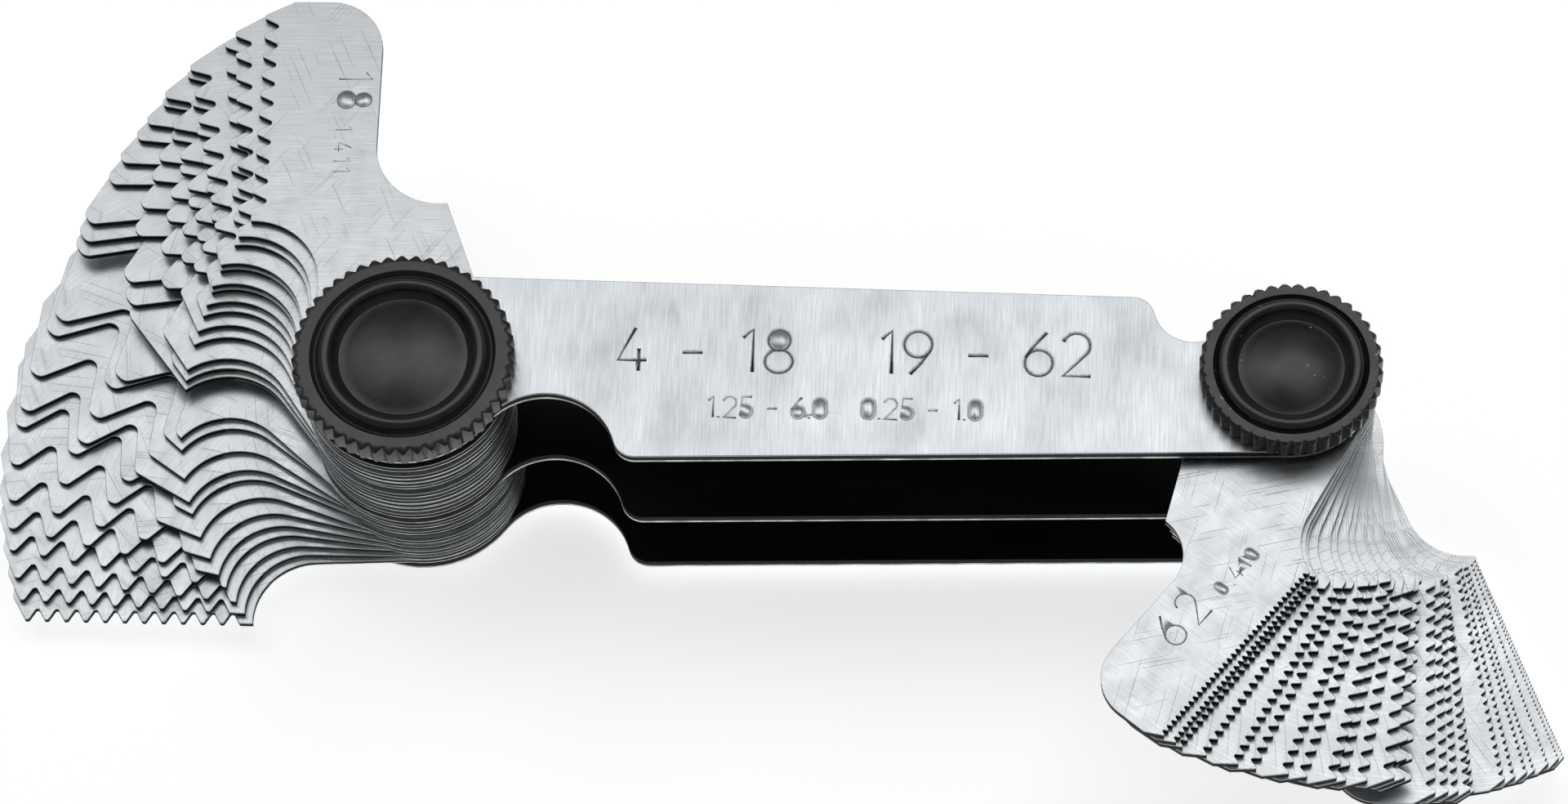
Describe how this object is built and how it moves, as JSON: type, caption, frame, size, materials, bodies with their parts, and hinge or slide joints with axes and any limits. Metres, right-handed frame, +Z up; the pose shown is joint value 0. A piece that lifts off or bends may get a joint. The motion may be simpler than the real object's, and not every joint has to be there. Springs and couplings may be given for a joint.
{
  "type": "thread pitch gauge",
  "caption": "Folding thread pitch gauge: toothed steel blades fan out from both ends of a three-plate case and are clamped by two ribbed knobs.",
  "frame": {"origin": "centre of the flat head under the large post, on which the gauge lies", "axes": "+X from the large post to the small post, along the case; +Z up through the stack to the knobs"},
  "size_m": [0.0996, 0.0518, 0.0191],
  "materials": {
    "cover_steel": "brushed",
    "plate_steel": "brushed",
    "blade_steel": "ground",
    "post_steel": "turned",
    "washer_steel": "spring temper",
    "black_finish": "satin black"
  },
  "bodies": {
    "case": {"bottom_plate": "plate_steel", "middle_plate": "plate_steel", "top_plate": "cover_steel", "large_post": "post_steel", "small_post": "post_steel", "friction_washers": "washer_steel"},
    "inch_blade_18": {"inch_blade_18": "blade_steel"},
    "inch_blade_16": {"inch_blade_16": "blade_steel"},
    "inch_blade_14": {"inch_blade_14": "blade_steel"},
    "inch_blade_13": {"inch_blade_13": "blade_steel"},
    "inch_blade_12": {"inch_blade_12": "blade_steel"},
    "inch_blade_11": {"inch_blade_11": "blade_steel"},
    "inch_blade_10": {"inch_blade_10": "blade_steel"},
    "inch_blade_9": {"inch_blade_9": "blade_steel"},
    "inch_blade_8": {"inch_blade_8": "blade_steel"},
    "inch_blade_7": {"inch_blade_7": "blade_steel"},
    "inch_blade_6": {"inch_blade_6": "blade_steel"},
    "inch_blade_5": {"inch_blade_5": "blade_steel"},
    "inch_blade_4_5": {"inch_blade_4_5": "blade_steel"},
    "inch_blade_4": {"inch_blade_4": "blade_steel"},
    "metric_blade_6_0": {"metric_blade_6_0": "blade_steel"},
    "metric_blade_5_5": {"metric_blade_5_5": "blade_steel"},
    "metric_blade_5_0": {"metric_blade_5_0": "blade_steel"},
    "metric_blade_4_5": {"metric_blade_4_5": "blade_steel"},
    "metric_blade_4_0": {"metric_blade_4_0": "blade_steel"},
    "metric_blade_3_5": {"metric_blade_3_5": "blade_steel"},
    "metric_blade_3_0": {"metric_blade_3_0": "blade_steel"},
    "metric_blade_2_5": {"metric_blade_2_5": "blade_steel"},
    "metric_blade_2_0": {"metric_blade_2_0": "blade_steel"},
    "metric_blade_1_75": {"metric_blade_1_75": "blade_steel"},
    "metric_blade_1_5": {"metric_blade_1_5": "blade_steel"},
    "metric_blade_1_25": {"metric_blade_1_25": "blade_steel"},
    "inch_blade_62": {"inch_blade_62": "blade_steel"},
    "inch_blade_60": {"inch_blade_60": "blade_steel"},
    "inch_blade_48": {"inch_blade_48": "blade_steel"},
    "inch_blade_40": {"inch_blade_40": "blade_steel"},
    "inch_blade_36": {"inch_blade_36": "blade_steel"},
    "inch_blade_32": {"inch_blade_32": "blade_steel"},
    "inch_blade_30": {"inch_blade_30": "blade_steel"},
    "inch_blade_28": {"inch_blade_28": "blade_steel"},
    "inch_blade_26": {"inch_blade_26": "blade_steel"},
    "inch_blade_25": {"inch_blade_25": "blade_steel"},
    "inch_blade_24": {"inch_blade_24": "blade_steel"},
    "inch_blade_22": {"inch_blade_22": "blade_steel"},
    "inch_blade_20": {"inch_blade_20": "blade_steel"},
    "inch_blade_19": {"inch_blade_19": "blade_steel"},
    "metric_blade_1_0": {"metric_blade_1_0": "blade_steel"},
    "metric_blade_0_9": {"metric_blade_0_9": "blade_steel"},
    "metric_blade_0_8": {"metric_blade_0_8": "blade_steel"},
    "metric_blade_0_75": {"metric_blade_0_75": "blade_steel"},
    "metric_blade_0_7": {"metric_blade_0_7": "blade_steel"},
    "metric_blade_0_6": {"metric_blade_0_6": "blade_steel"},
    "metric_blade_0_5": {"metric_blade_0_5": "blade_steel"},
    "metric_blade_0_45": {"metric_blade_0_45": "blade_steel"},
    "metric_blade_0_4": {"metric_blade_0_4": "blade_steel"},
    "metric_blade_0_35": {"metric_blade_0_35": "blade_steel"},
    "metric_blade_0_3": {"metric_blade_0_3": "blade_steel"},
    "metric_blade_0_25": {"metric_blade_0_25": "blade_steel"},
    "large_knob": {"large_knob": "black_finish"},
    "small_knob": {"small_knob": "black_finish"}
  },
  "joints": [
    {"name": "inch_blade_18_turn", "type": "hinge", "parent": "case", "child": "inch_blade_18", "pos_m": [0, 0, 0.009], "axis": [0, 0, 1], "range_deg": [-109.4, 160.6]},
    {"name": "inch_blade_16_turn", "type": "hinge", "parent": "case", "child": "inch_blade_16", "pos_m": [0, 0, 0.009], "axis": [0, 0, 1], "range_deg": [-113.8, 156.2]},
    {"name": "inch_blade_14_turn", "type": "hinge", "parent": "case", "child": "inch_blade_14", "pos_m": [0, 0, 0.009], "axis": [0, 0, 1], "range_deg": [-115.5, 154.5]},
    {"name": "inch_blade_13_turn", "type": "hinge", "parent": "case", "child": "inch_blade_13", "pos_m": [0, 0, 0.009], "axis": [0, 0, 1], "range_deg": [-120.9, 149.1]},
    {"name": "inch_blade_12_turn", "type": "hinge", "parent": "case", "child": "inch_blade_12", "pos_m": [0, 0, 0.009], "axis": [0, 0, 1], "range_deg": [-121.5, 148.5]},
    {"name": "inch_blade_11_turn", "type": "hinge", "parent": "case", "child": "inch_blade_11", "pos_m": [0, 0, 0.009], "axis": [0, 0, 1], "range_deg": [-125.3, 144.7]},
    {"name": "inch_blade_10_turn", "type": "hinge", "parent": "case", "child": "inch_blade_10", "pos_m": [0, 0, 0.009], "axis": [0, 0, 1], "range_deg": [-125.9, 144.1]},
    {"name": "inch_blade_9_turn", "type": "hinge", "parent": "case", "child": "inch_blade_9", "pos_m": [0, 0, 0.009], "axis": [0, 0, 1], "range_deg": [-128.8, 141.2]},
    {"name": "inch_blade_8_turn", "type": "hinge", "parent": "case", "child": "inch_blade_8", "pos_m": [0, 0, 0.009], "axis": [0, 0, 1], "range_deg": [-130.9, 139.1]},
    {"name": "inch_blade_7_turn", "type": "hinge", "parent": "case", "child": "inch_blade_7", "pos_m": [0, 0, 0.009], "axis": [0, 0, 1], "range_deg": [-134.3, 135.7]},
    {"name": "inch_blade_6_turn", "type": "hinge", "parent": "case", "child": "inch_blade_6", "pos_m": [0, 0, 0.009], "axis": [0, 0, 1], "range_deg": [-137.1, 132.9]},
    {"name": "inch_blade_5_turn", "type": "hinge", "parent": "case", "child": "inch_blade_5", "pos_m": [0, 0, 0.009], "axis": [0, 0, 1], "range_deg": [-143, 127]},
    {"name": "inch_blade_4_5_turn", "type": "hinge", "parent": "case", "child": "inch_blade_4_5", "pos_m": [0, 0, 0.009], "axis": [0, 0, 1], "range_deg": [-145, 125]},
    {"name": "inch_blade_4_turn", "type": "hinge", "parent": "case", "child": "inch_blade_4", "pos_m": [0, 0, 0.009], "axis": [0, 0, 1], "range_deg": [-146.5, 123.5]},
    {"name": "metric_blade_6_0_turn", "type": "hinge", "parent": "case", "child": "metric_blade_6_0", "pos_m": [0, 0, 0.009], "axis": [0, 0, 1], "range_deg": [-154.1, 115.9]},
    {"name": "metric_blade_5_5_turn", "type": "hinge", "parent": "case", "child": "metric_blade_5_5", "pos_m": [0, 0, 0.009], "axis": [0, 0, 1], "range_deg": [-156.6, 113.4]},
    {"name": "metric_blade_5_0_turn", "type": "hinge", "parent": "case", "child": "metric_blade_5_0", "pos_m": [0, 0, 0.009], "axis": [0, 0, 1], "range_deg": [-163.3, 106.7]},
    {"name": "metric_blade_4_5_turn", "type": "hinge", "parent": "case", "child": "metric_blade_4_5", "pos_m": [0, 0, 0.009], "axis": [0, 0, 1], "range_deg": [-168.8, 101.2]},
    {"name": "metric_blade_4_0_turn", "type": "hinge", "parent": "case", "child": "metric_blade_4_0", "pos_m": [0, 0, 0.009], "axis": [0, 0, 1], "range_deg": [-171.2, 98.8]},
    {"name": "metric_blade_3_5_turn", "type": "hinge", "parent": "case", "child": "metric_blade_3_5", "pos_m": [0, 0, 0.009], "axis": [0, 0, 1], "range_deg": [-176.9, 93.1]},
    {"name": "metric_blade_3_0_turn", "type": "hinge", "parent": "case", "child": "metric_blade_3_0", "pos_m": [0, 0, 0.009], "axis": [0, 0, 1], "range_deg": [-182.2, 87.8]},
    {"name": "metric_blade_2_5_turn", "type": "hinge", "parent": "case", "child": "metric_blade_2_5", "pos_m": [0, 0, 0.009], "axis": [0, 0, 1], "range_deg": [-186.2, 83.8]},
    {"name": "metric_blade_2_0_turn", "type": "hinge", "parent": "case", "child": "metric_blade_2_0", "pos_m": [0, 0, 0.009], "axis": [0, 0, 1], "range_deg": [-189.2, 80.8]},
    {"name": "metric_blade_1_75_turn", "type": "hinge", "parent": "case", "child": "metric_blade_1_75", "pos_m": [0, 0, 0.009], "axis": [0, 0, 1], "range_deg": [-193, 77]},
    {"name": "metric_blade_1_5_turn", "type": "hinge", "parent": "case", "child": "metric_blade_1_5", "pos_m": [0, 0, 0.009], "axis": [0, 0, 1], "range_deg": [-196, 74]},
    {"name": "metric_blade_1_25_turn", "type": "hinge", "parent": "case", "child": "metric_blade_1_25", "pos_m": [0, 0, 0.009], "axis": [0, 0, 1], "range_deg": [-198.6, 71.4]},
    {"name": "inch_blade_62_turn", "type": "hinge", "parent": "case", "child": "inch_blade_62", "pos_m": [0.055, 0, 0.009], "axis": [0, 0, 1], "range_deg": [-69.3, 200.7]},
    {"name": "inch_blade_60_turn", "type": "hinge", "parent": "case", "child": "inch_blade_60", "pos_m": [0.055, 0, 0.009], "axis": [0, 0, 1], "range_deg": [-71, 199]},
    {"name": "inch_blade_48_turn", "type": "hinge", "parent": "case", "child": "inch_blade_48", "pos_m": [0.055, 0, 0.009], "axis": [0, 0, 1], "range_deg": [-71.9, 198.1]},
    {"name": "inch_blade_40_turn", "type": "hinge", "parent": "case", "child": "inch_blade_40", "pos_m": [0.055, 0, 0.009], "axis": [0, 0, 1], "range_deg": [-75.3, 194.7]},
    {"name": "inch_blade_36_turn", "type": "hinge", "parent": "case", "child": "inch_blade_36", "pos_m": [0.055, 0, 0.009], "axis": [0, 0, 1], "range_deg": [-79.8, 190.2]},
    {"name": "inch_blade_32_turn", "type": "hinge", "parent": "case", "child": "inch_blade_32", "pos_m": [0.055, 0, 0.009], "axis": [0, 0, 1], "range_deg": [-82.3, 187.7]},
    {"name": "inch_blade_30_turn", "type": "hinge", "parent": "case", "child": "inch_blade_30", "pos_m": [0.055, 0, 0.009], "axis": [0, 0, 1], "range_deg": [-86.9, 183.1]},
    {"name": "inch_blade_28_turn", "type": "hinge", "parent": "case", "child": "inch_blade_28", "pos_m": [0.055, 0, 0.009], "axis": [0, 0, 1], "range_deg": [-89.5, 180.5]},
    {"name": "inch_blade_26_turn", "type": "hinge", "parent": "case", "child": "inch_blade_26", "pos_m": [0.055, 0, 0.009], "axis": [0, 0, 1], "range_deg": [-93.7, 176.3]},
    {"name": "inch_blade_25_turn", "type": "hinge", "parent": "case", "child": "inch_blade_25", "pos_m": [0.055, 0, 0.009], "axis": [0, 0, 1], "range_deg": [-95.1, 174.9]},
    {"name": "inch_blade_24_turn", "type": "hinge", "parent": "case", "child": "inch_blade_24", "pos_m": [0.055, 0, 0.009], "axis": [0, 0, 1], "range_deg": [-98.2, 171.8]},
    {"name": "inch_blade_22_turn", "type": "hinge", "parent": "case", "child": "inch_blade_22", "pos_m": [0.055, 0, 0.009], "axis": [0, 0, 1], "range_deg": [-102.2, 167.8]},
    {"name": "inch_blade_20_turn", "type": "hinge", "parent": "case", "child": "inch_blade_20", "pos_m": [0.055, 0, 0.009], "axis": [0, 0, 1], "range_deg": [-103.8, 166.2]},
    {"name": "inch_blade_19_turn", "type": "hinge", "parent": "case", "child": "inch_blade_19", "pos_m": [0.055, 0, 0.009], "axis": [0, 0, 1], "range_deg": [-104.8, 165.2]},
    {"name": "metric_blade_1_0_turn", "type": "hinge", "parent": "case", "child": "metric_blade_1_0", "pos_m": [0.055, 0, 0.009], "axis": [0, 0, 1], "range_deg": [-107.5, 162.5]},
    {"name": "metric_blade_0_9_turn", "type": "hinge", "parent": "case", "child": "metric_blade_0_9", "pos_m": [0.055, 0, 0.009], "axis": [0, 0, 1], "range_deg": [-109.5, 160.5]},
    {"name": "metric_blade_0_8_turn", "type": "hinge", "parent": "case", "child": "metric_blade_0_8", "pos_m": [0.055, 0, 0.009], "axis": [0, 0, 1], "range_deg": [-111.1, 158.9]},
    {"name": "metric_blade_0_75_turn", "type": "hinge", "parent": "case", "child": "metric_blade_0_75", "pos_m": [0.055, 0, 0.009], "axis": [0, 0, 1], "range_deg": [-113, 157]},
    {"name": "metric_blade_0_7_turn", "type": "hinge", "parent": "case", "child": "metric_blade_0_7", "pos_m": [0.055, 0, 0.009], "axis": [0, 0, 1], "range_deg": [-113.6, 156.4]},
    {"name": "metric_blade_0_6_turn", "type": "hinge", "parent": "case", "child": "metric_blade_0_6", "pos_m": [0.055, 0, 0.009], "axis": [0, 0, 1], "range_deg": [-118.6, 151.4]},
    {"name": "metric_blade_0_5_turn", "type": "hinge", "parent": "case", "child": "metric_blade_0_5", "pos_m": [0.055, 0, 0.009], "axis": [0, 0, 1], "range_deg": [-120.4, 149.6]},
    {"name": "metric_blade_0_45_turn", "type": "hinge", "parent": "case", "child": "metric_blade_0_45", "pos_m": [0.055, 0, 0.009], "axis": [0, 0, 1], "range_deg": [-122.5, 147.5]},
    {"name": "metric_blade_0_4_turn", "type": "hinge", "parent": "case", "child": "metric_blade_0_4", "pos_m": [0.055, 0, 0.009], "axis": [0, 0, 1], "range_deg": [-123.9, 146.1]},
    {"name": "metric_blade_0_35_turn", "type": "hinge", "parent": "case", "child": "metric_blade_0_35", "pos_m": [0.055, 0, 0.009], "axis": [0, 0, 1], "range_deg": [-126.4, 143.6]},
    {"name": "metric_blade_0_3_turn", "type": "hinge", "parent": "case", "child": "metric_blade_0_3", "pos_m": [0.055, 0, 0.009], "axis": [0, 0, 1], "range_deg": [-128.4, 141.6]},
    {"name": "metric_blade_0_25_turn", "type": "hinge", "parent": "case", "child": "metric_blade_0_25", "pos_m": [0.055, 0, 0.009], "axis": [0, 0, 1], "range_deg": [-129.4, 140.6]},
    {"name": "large_knob_turn", "type": "hinge", "parent": "case", "child": "large_knob", "pos_m": [0, 0, 0.017], "axis": [0, 0, 1], "range_deg": [0, 360]},
    {"name": "small_knob_turn", "type": "hinge", "parent": "case", "child": "small_knob", "pos_m": [0.055, 0, 0.017], "axis": [0, 0, 1], "range_deg": [0, 360]}
  ]
}
